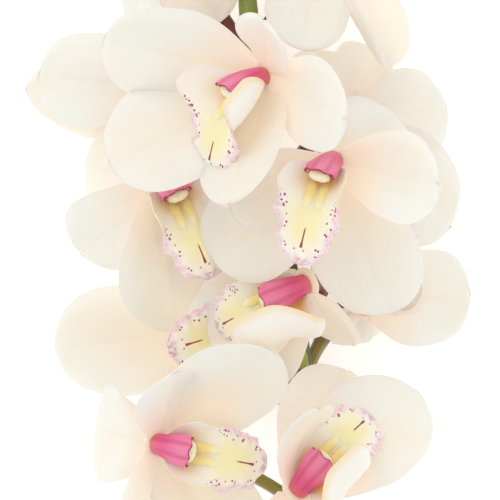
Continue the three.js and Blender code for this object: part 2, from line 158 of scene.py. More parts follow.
class Finish:
    """A material put together from named steps; each step returns the socket the next one reads."""

    def __init__(self, name):
        self.material = bpy.data.materials.new(name)
        self.material.use_nodes = True
        self.tree = self.material.node_tree
        self.shader = self.tree.nodes["Principled BSDF"]

    def node(self, kind, *inputs, out=0, **settings):
        """A new shader node, each of its inputs linked to a socket or set to a value."""
        made = self.tree.nodes.new("ShaderNode" + kind)
        for key, value in settings.items():
            setattr(made, key, value)
        for place, value in inputs:
            if isinstance(value, bpy.types.NodeSocket):
                self.tree.links.new(value, made.inputs[place])
            else:
                made.inputs[place].default_value = value
        return made.outputs[out]

    def math(self, operation, a, b=0.0):
        """A maths step on one or two numbers."""
        return self.node("Math", (0, a), (1, b), operation=operation)

    def times(self, a, b):
        """Two numbers multiplied."""
        return self.math("MULTIPLY", a, b)

    def between(self, value, low, high, smooth=True):
        """0 at low and 1 at high, eased or straight between; low may be the larger of the two."""
        kind = "SMOOTHSTEP" if smooth else "LINEAR"
        return self.node("MapRange", (0, value), (1, low), (2, high), interpolation_type=kind)

    def mix(self, factor, a, b):
        """Colour a where the factor is 0, colour b where it is 1; each a socket or red, green, blue."""
        a, b = (end if isinstance(end, bpy.types.NodeSocket) else (*end, 1) for end in (a, b))
        return self.node("Mix", (0, factor), (6, a), (7, b), out=2, data_type="RGBA")

    def surface(self, layer="surface"):
        """The piece's own two coordinates: round it, and along it from foot to tip."""
        split = self.node("SeparateXYZ", (0, self.node("UVMap", uv_map=layer))).node
        return split.outputs[0], split.outputs[1]

    def attribute(self, name):
        """A number that the mesh holds for each of its points."""
        return self.node("Attribute", out=2, attribute_name=name)

    def place(self):
        """The place in the frame, in metres."""
        return self.node("TexCoord", out=3)

    def noise(self, where, scale, detail, rough=0.5):
        """Cloudy noise from 0 to 1."""
        return self.node("TexNoise", ("Vector", where), ("Scale", scale), ("Detail", detail),
                         ("Roughness", rough))

    def grain(self, u, v, across, along, detail, rough=0.5):
        """Noise drawn out along the piece, fine round it and slow along it: streaks or veins."""
        return self.noise(self.joined(self.times(u, across), self.times(v, along)), 1.0, detail, rough)

    def from_middle(self, u):
        """0 on the middle line of a sheet and 1 at either edge, on both faces."""
        return self.math("ABSOLUTE", self.math("SUBTRACT", self.times(self.math("FRACT", u), 2.0), 1.0))

    def cells(self, where):
        """Distance to the nearest of the scattered points, one in each unit square."""
        return self.node("TexVoronoi", ("Vector", where), ("Scale", 1.0), voronoi_dimensions="2D")

    def nook(self, reach):
        """How closed in by other surfaces a place is: 0 in the open, 1 in a crevice."""
        free = self.node("AmbientOcclusion", ("Distance", reach), out=1, samples=6)
        return self.math("SUBTRACT", 1.0, free)

    def joined(self, x, y):
        """Two numbers as one place on a texture."""
        return self.node("CombineXYZ", (0, x), (1, y))

    def bump(self, height, strength, distance):
        """Relief too fine for the mesh, distance metres deep where the height is 1."""
        relief = self.node("Bump", ("Height", height), ("Strength", strength),
                           ("Distance", distance))
        self.tree.links.new(relief, self.shader.inputs["Normal"])

    def colour(self, socket):
        """The colour of the surface."""
        self.tree.links.new(socket, self.shader.inputs["Base Color"])

    def set(self, **values):
        """Constant values on the shader's own sockets, whose names have _ for a space here."""
        for key, value in values.items():
            self.shader.inputs[key.replace("_", " ")].default_value = value
        return self


def stem_skin():
    """Stem green: darker streaks along it, darker patches, paler towards its tip, a waxy face."""
    skin = Finish("stem skin")
    u, v = skin.surface()
    streaks = skin.grain(u, v, 30, 5, 4)
    patches = skin.noise(skin.place(), 60, 3)
    green = skin.mix(skin.between(streaks, 0.35, 0.65), (0.075, 0.105, 0.02), (0.15, 0.19, 0.05))
    green = skin.mix(skin.between(patches, 0.45, 0.75), green, (0.05, 0.065, 0.018))
    pale = skin.between(v, 0.78, 0.93)
    young = skin.mix(streaks, (0.2, 0.27, 0.05), (0.36, 0.44, 0.12))
    skin.colour(skin.mix(pale, green, young))
    skin.bump(skin.math("ADD", streaks, skin.noise(skin.place(), 900, 2)), 0.35, 0.0004)
    return skin.set(Roughness=0.42, Subsurface_Weight=0.06, Subsurface_Scale=0.002).material


stem_material = stem_skin()
share = np.linspace(0, 1, STEM_RINGS)
rings = round_stalk(stem_line(share), stem_radius(share), STEM_SIDES, STEM_RIBS, STEM_RIB_DEPTH)
shell("stem_rachis", rings, stem_material, "stem", "stem")


# -------- the stalks
# Twelve flower stalks, each a slim pedicel that swells into the ribbed ovary below its flower,
# olive where it leaves the stem and flushed dark red above.

# A flower's parts meet at its hub. It looks along facing, with its column on the side of up, and its
# stalk leaves the stem at the Y of foot. Its sepals (dorsal, left, right) and petals (left, right)
# have their turn from up, lift at the claw, lift at the tip and cup in degrees, and share of full size.
FLOWERS = [
    {"name": "flower_01", "hub": [18, -88.5, 72], "facing": [0.42, 0.58, 0.7], "up": [-0.62, -0.58, 0.52],
     "foot": -128, "sepals": [[-35, 0, 10, 24, 1], [-172, 31, 23, 20, 1], [159, 19, 11, 20, 0.9]],
     "petals": [[-83, 6, 16, 16, 1], [100, 55, 91, 16, 0.66]]},
    {"name": "flower_02", "hub": [-33.5, -72, 66], "facing": [0.5, -0.1, 0.85], "up": [-1, 0.22, 0.5],
     "foot": -104, "sepals": [[-10, -88, -100, 24, 0.85], [-135, 13, 33, 20, 1], [110, 37, 49, 20, 1]],
     "petals": [[-98, 4, 4, 16, 1], [68, 30, 44, 16, 0.62]]},
    {"name": "flower_03", "hub": [42.8, -19.5, 32], "facing": [0.35, -0.05, 0.93], "up": [-0.1, -1, 0.1],
     "foot": -54, "sepals": [[-7, -60, -85, 20, 0.5], [-99, -26, -8, 20, 0.85], [-123, -28, -42, 20, 0.6]],
     "petals": [[-17, -44, -62, 16, 0.42], [11, -45, -63, 16, 0.42]]},
    {"name": "flower_04", "hub": [-8.9, -28, 15], "facing": [0.5, 0, 0.86], "up": [0.86, 0.26, -0.5],
     "foot": -72, "sepals": [[21, -9, -15, 20, 0.42], [132, -8, -18, 20, 0.4], [-175, -26, -32, 20, 1.07]],
     "petals": [[-139, 43, 37, 16, 0.42], [93, -28, -34, 16, 0.42]]},
    {"name": "flower_05", "hub": [20.5, -12.8, 60], "facing": [-0.72, -0.28, 0.63], "up": [0.52, 0.3, 0.78],
     "foot": -40, "sepals": [[34, -130, -140, 20, 0.72], [176, 26, 32, 20, 0.88], [162, 5, 9, 20, 0.92]],
     "petals": [[-174, 20, 8, 16, 0.85], [105, -27, -33, 16, 0.52]]},
    {"name": "flower_06", "hub": [-31.6, 24.8, 48], "facing": [0.21, -0.12, 0.97], "up": [-0.38, 0.92, 0.15],
     "foot": -10, "sepals": [[-60, -57, -73, 20, 0.8], [-164, -11, -13, 20, 0.96], [167, -23, -17, 20, 0.92]],
     "petals": [[-114, -34, -44, 16, 0.84], [127, -37, -47, 16, 0.7]]},
    {"name": "flower_07", "hub": [30.5, 31.5, 82], "facing": [-0.25, -0.1, 0.96], "up": [0.25, 0.95, 0.1],
     "foot": 0, "sepals": [[31, -50, -70, 16, 0.66], [-143, -2, -2, 20, 0.97], [148, -11, -19, 20, 1]],
     "petals": [[-127, -5, 2, 16, 0.72], [81, 23, 35, 16, 0.86]]},
    {"name": "flower_08", "hub": [34, 46, 36], "facing": [0.4, 0.1, 0.91], "up": [0.2, 0.97, -0.1],
     "foot": 16, "sepals": [[22, -8, -24, 20, 0.62], [159, -36, -48, 20, 0.84], [113, -2, -14, 20, 1]],
     "petals": [[-17, -22, -38, 16, 0.6], [65, -4, -18, 16, 0.85]]},
    {"name": "flower_09", "hub": [-28, 62.3, 38], "facing": [-0.35, 0.1, 0.93], "up": [-0.35, 0.93, -0.1],
     "foot": 34, "sepals": [[16, -8, -24, 20, 0.48], [-69, -6, -13, -60, 1.1], [-122, -29, -41, 20, 0.94]],
     "petals": [[-65, 1, -8, 16, 0.97], [65, -42, -56, 16, 0.6]]},
    {"name": "flower_10", "hub": [5, 62.3, 88], "facing": [-0.66, -0.12, 0.74], "up": [0.33, 0.92, 0.25],
     "foot": 40, "sepals": [[8, 28, 38, 24, 0.5], [-145, 32, 48, 20, 1.08], [152, 33, 39, 20, 0.84]],
     "petals": [[-91, 28, 50, 18, 1.03], [81, 4, 26, 18, 0.88]]},
    {"name": "flower_11", "hub": [25, 112, 52], "facing": [0.1, 0.75, 0.65], "up": [-0.1, -0.65, 0.75],
     "foot": 72, "sepals": [[0, -22, -38, 20, 0.64], [-135, -6, 6, 20, 0.95], [128, -8, 4, 20, 0.95]],
     "petals": [[-53, -30, -48, 110, 0.88], [78, 0, 12, 16, 0.9]]},
    {"name": "flower_12", "hub": [-31.5, 117.5, 50], "facing": [-0.3, 0.7, 0.65], "up": [0.1, -0.65, 0.7],
     "foot": 64, "sepals": [[-20, -52, -74, 20, 0.62], [-133, -10, -22, 20, 0.92], [150, 5, 15, 20, 0.95]],
     "petals": [[-88, -4, -14, 16, 0.85], [67, -45, -62, 16, 0.68]]},
]
STALK_RADIUS, OVARY_RADIUS, OVARY_RIBS, OVARY_RIB_DEPTH, STALK_TOP = 2.3, 3.8, 6, 0.05, -2.5
STALK_RINGS, STALK_SIDES = 70, 36
# Shares of the stalk's reach: along the stem, pulled towards its flower, and straight behind it.
STALK_ALONG, STALK_PULL, STALK_BEHIND = 0.3, 0.15, 0.4


def axes(flower):
    """The flower's hub and its own axes: n out of the flower, u to its dorsal side, r to its right."""
    n = unit(np.array(flower["facing"], dtype=float))
    u = np.array(flower["up"], dtype=float)
    u = unit(u - n * (u @ n))
    return np.array(flower["hub"], dtype=float), n, u, np.cross(u, n)


def stalk_line(flower, share):
    """A cubic Bezier line from the middle of the stem to the back of the flower."""
    hub, n, _, _ = axes(flower)
    foot, ahead, _ = stem_at(flower["foot"])
    top = hub + STALK_TOP * n
    reach = np.linalg.norm(top - foot)
    first = foot + STALK_ALONG * reach * ahead
    first = first + STALK_PULL * (top - first)
    second = top - STALK_BEHIND * reach * n
    s = share[:, None]
    return (1 - s)**3 * foot + 3 * s * (1 - s)**2 * first + 3 * s**2 * (1 - s) * second + s**3 * top


def stalk_skin():
    """Pedicel: olive-ochre at its foot, brushed dark red on the way up, green again at the ovary.

    Those nearest the tip of the stem are red from the foot.
    """
    skin = Finish("flower stalk")
    u, v = skin.surface()
    streaks = skin.grain(u, v, 16, 3, 4)
    ochre = skin.mix(streaks, (0.22, 0.2, 0.04), (0.35, 0.27, 0.07))
    red = skin.mix(streaks, (0.1, 0.02, 0.012), (0.2, 0.045, 0.02))
    far = skin.node("SeparateXYZ", (0, skin.place()), out=1)
    flush = skin.math("MAXIMUM", skin.between(v, 0.3, 0.55), skin.between(far, 0.14, 0.16))
    flush = skin.times(flush, skin.between(v, 1.0, 0.8))
    side = skin.between(skin.math("SINE", skin.times(u, 6.283)), -0.5, 0.4)
    sided = skin.math("ADD", skin.times(side, 0.6), 0.4)
    skin.colour(skin.mix(skin.times(flush, sided), ochre, red))
    skin.bump(streaks, 0.3, 0.0004)
    return skin.set(Roughness=0.4, Subsurface_Weight=0.08, Subsurface_Scale=0.002).material


stalk_material = stalk_skin()
share = np.linspace(0, 1, STALK_RINGS)
# The ovary swells as a squared sine, from a quarter of the way along.
swell = np.sin(np.pi * (share * 1.15 - 0.3).clip(0, 1))**2
stalk_radius = STALK_RADIUS + (OVARY_RADIUS - STALK_RADIUS) * swell
for flower in FLOWERS:
    rings = round_stalk(stalk_line(flower, share), stalk_radius, STALK_SIDES, OVARY_RIBS, OVARY_RIB_DEPTH)
    shell(f"{flower['name']}_stalk", rings, stalk_material, "stem", "stem")


# -------- the bracts
# A small pointed scale leaf stands beside the foot of each stalk, yellow-green and a little cupped,
# grown from the stem.
BRACT_LENGTH, BRACT_BELOW, BRACT_SINK, BRACT_SPREAD, BRACT_HALF = 12, 5, 1.2, 4, 1.0
BRACT_WIDTHS, BRACT_FOLD = [3.6, 3, 0.8], 0.5
BRACT_RINGS, BRACT_SIDES = 24, 28


def bract_rings(flower):
    """Flattened rings along the stem that lean slowly away from it.

    The half width runs straight between its values at foot, middle and point, and each ring is
    folded inward by the square of the distance across.
    """
    foot, ahead, radius = stem_at(flower["foot"] - BRACT_BELOW)
    lean = np.array(flower["hub"], dtype=float) - foot
    lean[1] = 0
    lean = unit(lean)
    side = unit(np.cross(ahead, lean))
    s = np.linspace(0, 1, BRACT_RINGS)
    half = np.interp(s, [0, 0.5, 1], BRACT_WIDTHS) * np.sqrt(1 - 0.75 * s**4)
    middle = foot + BRACT_LENGTH * s[:, None] * ahead
    middle = middle + (radius - BRACT_SINK + BRACT_SPREAD * s)[:, None] * lean
    angle = round_the(BRACT_SIDES)
    across = half[:, None] * np.cos(angle)
    thick = (BRACT_HALF * np.sqrt(1 - 0.8 * s**3))[:, None] * np.sin(angle)
    thick = thick - BRACT_FOLD * (across / BRACT_WIDTHS[0])**2
    return rings_about(middle, -side, across, -np.cross(side, ahead), thick)


def bract_skin():
    """Scale leaf: yellow-green, fine lines along it, browned at the point."""
    skin = Finish("scale leaf")
    u, v = skin.surface()
    lines = skin.grain(u, v, 40, 2, 3)
    leaf = skin.mix(lines, (0.3, 0.32, 0.06), (0.45, 0.44, 0.12))
    skin.colour(skin.mix(skin.between(v, 0.75, 1.0), leaf, (0.25, 0.14, 0.05)))
    skin.bump(lines, 0.3, 0.0003)
    return skin.set(Roughness=0.5, Subsurface_Weight=0.1, Subsurface_Scale=0.002).material


bract_material = bract_skin()
for flower in FLOWERS:
    shell(f"{flower['name']}_bract", bract_rings(flower), bract_material, "stem", "stem")


# -------- the sepals
# Three outer segments of each flower: thick, waxy, cream-white blades with a sunk midline, fine
# lengthwise veins, a small point and a flush of peach towards the middle of the flower. They grow
# from a fleshy disc on top of the ovary.
SEPAL = {"length": 59, "width": 41, "baseShare": 0.38, "widest": 0.58, "thickness": 1.3, "level": -1.4,
         "point": 2.3}
# Where a blade leaves the flower's axis (mm), how blunt its end is, the half width left at its tip,
# the share of its length over which its cup sets in, and the power of its size that its width goes by.
BLADE_START, BLADE_BLUNT, BLADE_TIP, BLADE_FLAT, BLADE_POWER = 2.5, 0.52, 0.036, 0.4, 0.6
BLADE_ROWS, BLADE_PLACES = 52, 30
# Relief in mm: sunk midline, waved sides, rolled edge, broad dimples, fine veins.
MIDLINE_DEPTH, SIDE_WAVE, EDGE_ROLL, DIMPLE, VEIN = 0.7, 1.0, 1.1, 0.5, 0.06
OUTLINE_WAVE, EDGE_THICKNESS = 0.035, 0.06
DISC_RADIUS, DISC_LOW, DISC_HEIGHT, DISC_RINGS, DISC_SIDES = 6.4, -3.0, 4.6, 18, 36


def smooth(x):
    """0 below 0, 1 above 1, and 3x^2 - 2x^3 between."""
    x = np.clip(x, 0, 1)
    return x * x * (3 - 2 * x)


def sheet_grid(rows, places):
    """Places on a sheet: s from 0 to 1 along it and t from -1 to 1 across it, closer at tip and edges."""
    s = np.sin(np.pi / 2 * np.linspace(0, 1, rows))[:, None] * np.ones(places)
    t = np.sin(np.pi / 2 * np.linspace(-1, 1, places)) * np.ones((rows, 1))
    return s, t


def bent_sheet(flower, bend, start, level, length, half, cup, s, t):
    """The middle of a bent, cupped sheet that leaves the flower's axis.

    Along it (s) the line turns evenly from the first lift to the last, measured from the direction d
    towards n. Across it (t) each row is an arc of the given half angle. Returns points and normals.
    """
    hub, n, u, r = axes(flower)
    turn, first, last = np.radians(bend)
    d = np.cos(turn) * u + np.sin(turn) * r
    e = np.cross(n, d)
    curve = (last - first) or 1e-6
    lift = first + curve * s
    out = start + length / curve * (np.sin(lift) - np.sin(first))
    high = level - length / curve * (np.cos(lift) - np.cos(first))
    normal = -np.sin(lift)[..., None] * d + np.cos(lift)[..., None] * n
    bow = np.radians(cup) + 1e-6
    point = hub + out[..., None] * d + high[..., None] * n
    point = point + (half / bow * np.sin(bow * t))[..., None] * e
    point = point + (half / bow * (1 - np.cos(bow * t)))[..., None] * normal
    return point, np.cos(bow * t)[..., None] * normal - np.sin(bow * t)[..., None] * e


def facing(point, like):
    """Normals of a grid of points, worked out from its neighbours and turned the same way as like."""
    normal = unit(np.cross(np.gradient(point, axis=0), np.gradient(point, axis=1)))
    turned = np.sign((normal * like).sum(-1))[..., None]
    return np.where(turned == 0, like, normal * turned)


def skin_of(point, normal, thickness):
    """Rings round a sheet: its front across one way, then its back across the other."""
    front = point + normal * thickness[..., None] / 2
    back = point - normal * thickness[..., None] / 2
    return np.concatenate([front, back[:, ::-1]], axis=1)


def two_sides(rows, places):
    """UV values for a sheet's skin: 0 to 1 across the front, 1 to 2 back across the back, and along."""
    across = np.linspace(0, 1, places)
    around = np.concatenate([across, 1 + across, [2.0]])
    along = np.sin(np.pi / 2 * np.linspace(0, 1, rows))[:, None]
    return np.broadcast_to(around, (rows, len(around))), np.broadcast_to(along, (rows, len(around)))


def blade_outline(kind, s):
    """Half width: a narrow claw that swells as a sine, then a rounded end drawn to a small point."""
    swell = np.sin(np.pi / 2 * (s / kind["widest"]).clip(0, 1))
    past = ((s - kind["widest"]) / (1 - kind["widest"])).clip(0, 1)
    end = np.maximum((1 - past**kind["point"])**BLADE_BLUNT, BLADE_TIP)
    return kind["width"] / 2 * (kind["baseShare"] + (1 - kind["baseShare"]) * swell) * end


def blade(flower, kind, numbers, seed):
    """Rings of a sepal or petal; numbers are its turn, two lifts, cup and share of full size.

    The bent sheet, sunk along its middle, with slow sine waves over it and along each edge and an
    edge that rolls back a little, thick at the claw and middle and thin at its edges and tip. The
    seed shifts the waves.
    """
    turn, first, last, cup, share = numbers
    s, t = sheet_grid(BLADE_ROWS, BLADE_PLACES)
    half = blade_outline(kind, s) * share**BLADE_POWER
    right_edge, left_edge = np.sin(9 * s + seed) * (t > 0), np.sin(8 * s + 2 * seed) * (t < 0)
    half = half * (1 + OUTLINE_WAVE * right_edge + OUTLINE_WAVE * left_edge)
    bow = cup * smooth(s / BLADE_FLAT)
    point, like = bent_sheet(flower, (turn, first, last), BLADE_START, kind["level"],
                             kind["length"] * share, half, bow, s, t)
    body = smooth(s / 0.25) * (1 - 0.6 * s)
    rise = -MIDLINE_DEPTH * body * np.exp(-(t / 0.1)**2)
    rise = rise + SIDE_WAVE * smooth(s / 0.4) * t**2 * np.sin(5.5 * s + 2.1 * np.sign(t) + seed)
    rise = rise - EDGE_ROLL * smooth((np.abs(t) - 0.7) / 0.3) * smooth(s / 0.3)
    rise = rise + DIMPLE * np.sin(3.4 * t + seed) * np.sin(6 * s + 1.7 * seed)
    rise = rise + VEIN * smooth(s / 0.2) * np.sin(21 * t + 3 * np.sin(3 * s + seed)) * (1 - np.abs(t))
    point = point + rise[..., None] * like
    thickness = kind["thickness"] * (1.25 - 0.35 * smooth(s / 0.3)) * (1 - 0.86 * np.abs(t)**3)
    thickness = thickness + EDGE_THICKNESS
    thickness = thickness * (1 - 0.85 * smooth((s - 0.96) / 0.04))
    return skin_of(point, facing(point, like), thickness)


def blade_skin(name, white, warm, flush, vein_tone_and_painted_shade):
    """Sepal or petal: cream-white, peach towards the claw and midline, a trace of green at the point.

    Fine veins run along the blade, a little darker and sunk, over a slow mottling. Painted shade darkens the
    sunk midline. Painted light makes a place closed in by its neighbours warmer and makes it glow a little,
    in place of light that comes through the flesh.
    """
    skin = Finish(name)
    u, v = skin.surface()
    across = skin.from_middle(u)
    where = skin.place()
    veins = skin.grain(u, v, 34, 2.2, 3, 0.6)
    mottle = skin.noise(where, 38, 3)
    grain = skin.noise(where, 1500, 2)
    colour = skin.mix(skin.between(mottle, 0.3, 0.7), white, warm)
    rib = skin.times(skin.between(across, 0.5, 0.0), skin.between(v, 1.0, 0.2))
    base = skin.between(v, 0.62, 0.02)
    glow = skin.math("MAXIMUM", base, skin.times(rib, 0.45))
    colour = skin.mix(glow, colour, flush)
    colour = skin.mix(skin.times(skin.between(veins, 0.45, 0.75), 0.16), colour, vein_tone_and_painted_shade)
    # Painted shade: the sunk midline is darkened over its lower half, with the same colour that tints the
    # veins.
    painted_midline_shade = skin.times(skin.between(across, 0.05, 0.0), skin.between(v, 1.0, 0.5))
    colour = skin.mix(skin.times(painted_midline_shade, 0.3), colour, vein_tone_and_painted_shade)
    tip = skin.times(skin.between(v, 0.98, 1.0), skin.between(across, 1.0, 0.2))
    colour = skin.mix(skin.times(tip, 0.4), colour, (0.86, 0.78, 0.5))
    # Painted light: a place closed in by its neighbours is coloured warm peach and glows faintly, in place of
    # light that passes through and between the petals.
    nook = skin.between(skin.nook(0.045), 0.12, 0.7)
    skin.colour(skin.mix(skin.times(nook, 0.7), colour, (0.97, 0.83, 0.7)))
    light = skin.mix(nook, (0, 0, 0), (1.0, 0.9, 0.8))
    skin.tree.links.new(light, skin.shader.inputs["Emission Color"])
    skin.bump(skin.math("ADD", veins, skin.times(grain, 0.35)), 0.18, 0.0004)
    skin.set(Roughness=0.5, Specular_IOR_Level=0.3, Sheen_Weight=0.08, Sheen_Roughness=0.5)
    skin.set(Subsurface_Weight=0.5, Subsurface_Radius=(1.0, 0.82, 0.68), Subsurface_Scale=0.005)
    return skin.set(Emission_Strength=0.11).material


def disc_rings(flower):
    """A lens round the flower's axis: its radius goes as a power of a sine from one face to the other."""
    hub, n, u, r = axes(flower)
    s = np.linspace(0.02, 0.98, DISC_RINGS)
    radius = (DISC_RADIUS * np.sin(np.pi * s)**0.55)[:, None]
    line = hub + (DISC_LOW + DISC_HEIGHT * s)[:, None] * n
    angle = round_the(DISC_SIDES)
    return rings_about(line, r, radius * np.cos(angle), u, radius * np.sin(angle))


sepal_material = blade_skin("sepal flesh", white=(0.84, 0.86, 0.77), warm=(0.86, 0.8, 0.69),
                            flush=(0.92, 0.72, 0.57), vein_tone_and_painted_shade=(0.83, 0.72, 0.59))
blade_uv = two_sides(BLADE_ROWS, BLADE_PLACES)
for number, flower in enumerate(FLOWERS):
    for place, side in enumerate(["dorsal", "leftSepal", "rightSepal"]):
        rings = blade(flower, SEPAL, flower["sepals"][place], 1.7 * number + 2.3 * place)
        shell(f"{flower['name']}_{side}", rings, sepal_material, "sepal", f"{flower['name']}_sepals",
              uv=blade_uv)
    # The disc's UV map ends at a tenth of the way along, so that it has the colours of the claws.
    rings = disc_rings(flower)
    around, along = wrap(rings)
    shell(f"{flower['name']}_disc", rings, sepal_material, "sepal", f"{flower['name']}_sepals",
          uv=(around, along * 0.1))


# -------- the petals
# Two inner segments of each flower, a little narrower and whiter than the sepals, held at the sides
# of the lip.
PETAL = {"length": 57, "width": 37, "baseShare": 0.34, "widest": 0.6, "thickness": 1.3, "level": 0.4,
         "point": 2.4}
petal_material = blade_skin("petal flesh", white=(0.83, 0.86, 0.79), warm=(0.85, 0.81, 0.71),
                            flush=(0.91, 0.73, 0.6), vein_tone_and_painted_shade=(0.82, 0.74, 0.62))
for number, flower in enumerate(FLOWERS):
    for place, side in enumerate(["leftPetal", "rightPetal"]):
        rings = blade(flower, PETAL, flower["petals"][place], 0.9 + 2.6 * number + 3.1 * place)
        shell(f"{flower['name']}_{side}", rings, petal_material, "petal", f"{flower['name']}_petals",
              uv=blade_uv)


# -------- the lips
# The third petal: two lobes stand up beside the column, one often curled over it, then a tongue
# bends down and forward with a frilled edge. Cream, yellow in the throat, with crimson dashes where
# the lobes meet the tongue, a rosy margin and a maroon line.
LIP = {"length": 44, "base": 4.5, "shoulder": 13.2, "apron": 10.8, "end": 0.15, "start": 1.5, "level": 1.6}
LIP_BEND, LIP_BASE_SHARE, LIP_APRON_CUP = (180, 78, -30), 0.6, -22
LIP_THICKNESS, LIP_EDGE = 1.0, 0.08
LIP_ROWS, LIP_PLACES = 84, 56
# How far round each lobe goes (degrees) and how wide it is (mm): left lobe, then right lobe.
LOBE = ((84, 18), (84, 18))
LOBES = {
    "flower_01": ((155, 39), (70, 17)),
    "flower_02": ((88, 17), (88, 17)),
    "flower_05": ((60, 13), (168, 48)),
    "flower_06": ((94, 18), (76, 17)),
    "flower_07": ((66, 17), (96, 17)),
    "flower_10": ((66, 23), (122, 31)),
}
# Shares of the lip's length: by which its lobes are full (sooner on two flowers), then where each
# next change of width starts and over how much it is made.
LOBE_BY, LOBES_BY = 0.34, {"flower_05": 0.15, "flower_01": 0.18}
SHOULDER_FROM, SHOULDER_OVER, APRON_FROM, APRON_OVER, ROUND_FROM = 0.42, 0.13, 0.56, 0.16, 0.74
# Relief of the lip in mm: frills on the apron and on the lobes, waves at its end, a sunk middle.
APRON_FRILL, LOBE_FRILL, END_WAVE, TROUGH, RAGGED = 1.1, 0.5, 0.8, 0.8, 0.055


def lip_half(flower, s, t):
    """Half width: swells to the lobes, draws in to the shoulder and the apron, then rounds off.

    Four sines of rising pitch, shifted for each flower and side, make its edge ragged.
    """
    left, right = LOBES.get(flower["name"], LOBE)
    lobe = np.where(t < 0, left[1], right[1])
    lobes = LIP["base"] + (lobe - LIP["base"]) * smooth(s / LOBES_BY.get(flower["name"], LOBE_BY))
    shoulder = lobes + (LIP["shoulder"] - lobes) * smooth((s - SHOULDER_FROM) / SHOULDER_OVER)
    apron = shoulder + (LIP["apron"] - shoulder) * smooth((s - APRON_FROM) / APRON_OVER)
    past = ((s - ROUND_FROM) / (1 - ROUND_FROM)).clip(0, 1)
    seed = FLOWERS.index(flower)
    shift = seed + 1.7 * np.sign(t)
    ragged = sum(np.sin((23 + 17 * k + seed) * s + 2 * k + shift) / (k + 2) for k in range(4))
    ragged = 1 + RAGGED * ragged * smooth((s - 0.4) / 0.15)
    return apron * ragged * np.maximum(np.sqrt(1 - past**2.2), LIP["end"])


def lip_cup(flower, s, t):
    """Half angle across: closed round the column at the lobes, rolled back at the apron."""
    left, right = LOBES.get(flower["name"], LOBE)
    lobe = np.where(t < 0, left[0], right[0])
    first = lobe * (LIP_BASE_SHARE + (1 - LIP_BASE_SHARE) * smooth(s / 0.3))
    return first + (LIP_APRON_CUP - first) * smooth((s - SHOULDER_FROM) / 0.26)


def lip_sheet(flower, s, t):
    """Middle of the lip: the bent sheet, with sine frills along the apron's edge and the lobes' edges."""
    point, like = bent_sheet(flower, LIP_BEND, LIP["start"], LIP["level"], LIP["length"],
                             lip_half(flower, s, t), lip_cup(flower, s, t), s, t)
    side = np.sign(t)
    frill = smooth((s - 0.55) / 0.15) * np.abs(t)**3 * np.sin(52 * s + 1.5 * side) * APRON_FRILL
    on_lobes = smooth((s - 0.2) / 0.1) * smooth((0.6 - s) / 0.1)
    frill = frill + on_lobes * np.abs(t)**6 * np.sin(30 * s + side) * LOBE_FRILL
    end = smooth((s - 0.86) / 0.14) * np.sin(11 * t) * END_WAVE
    trough = -TROUGH * smooth((s - 0.5) / 0.15) * smooth((0.95 - s) / 0.2) * np.exp(-(t / 0.35)**2)
    return point + (frill + end + trough)[..., None] * like, like


def lip_marks(flower, s, t):
    """For the colouring: how far in from the nearest edge (cm), and how thick with dashes (0 to 1).

    The dashes stand in two bell-shaped clusters, one inside each edge where the lobes end.
    """
    from_side = lip_half(flower, s, t) * (1 - np.abs(t))
    margin = np.minimum(from_side, LIP["length"] * (1 - s) * 0.9)
    cluster = np.exp(-((s - 0.505) / 0.05)**2) * np.exp(-((from_side - 3.2) / 1.9)**2)
    return margin / 10, cluster


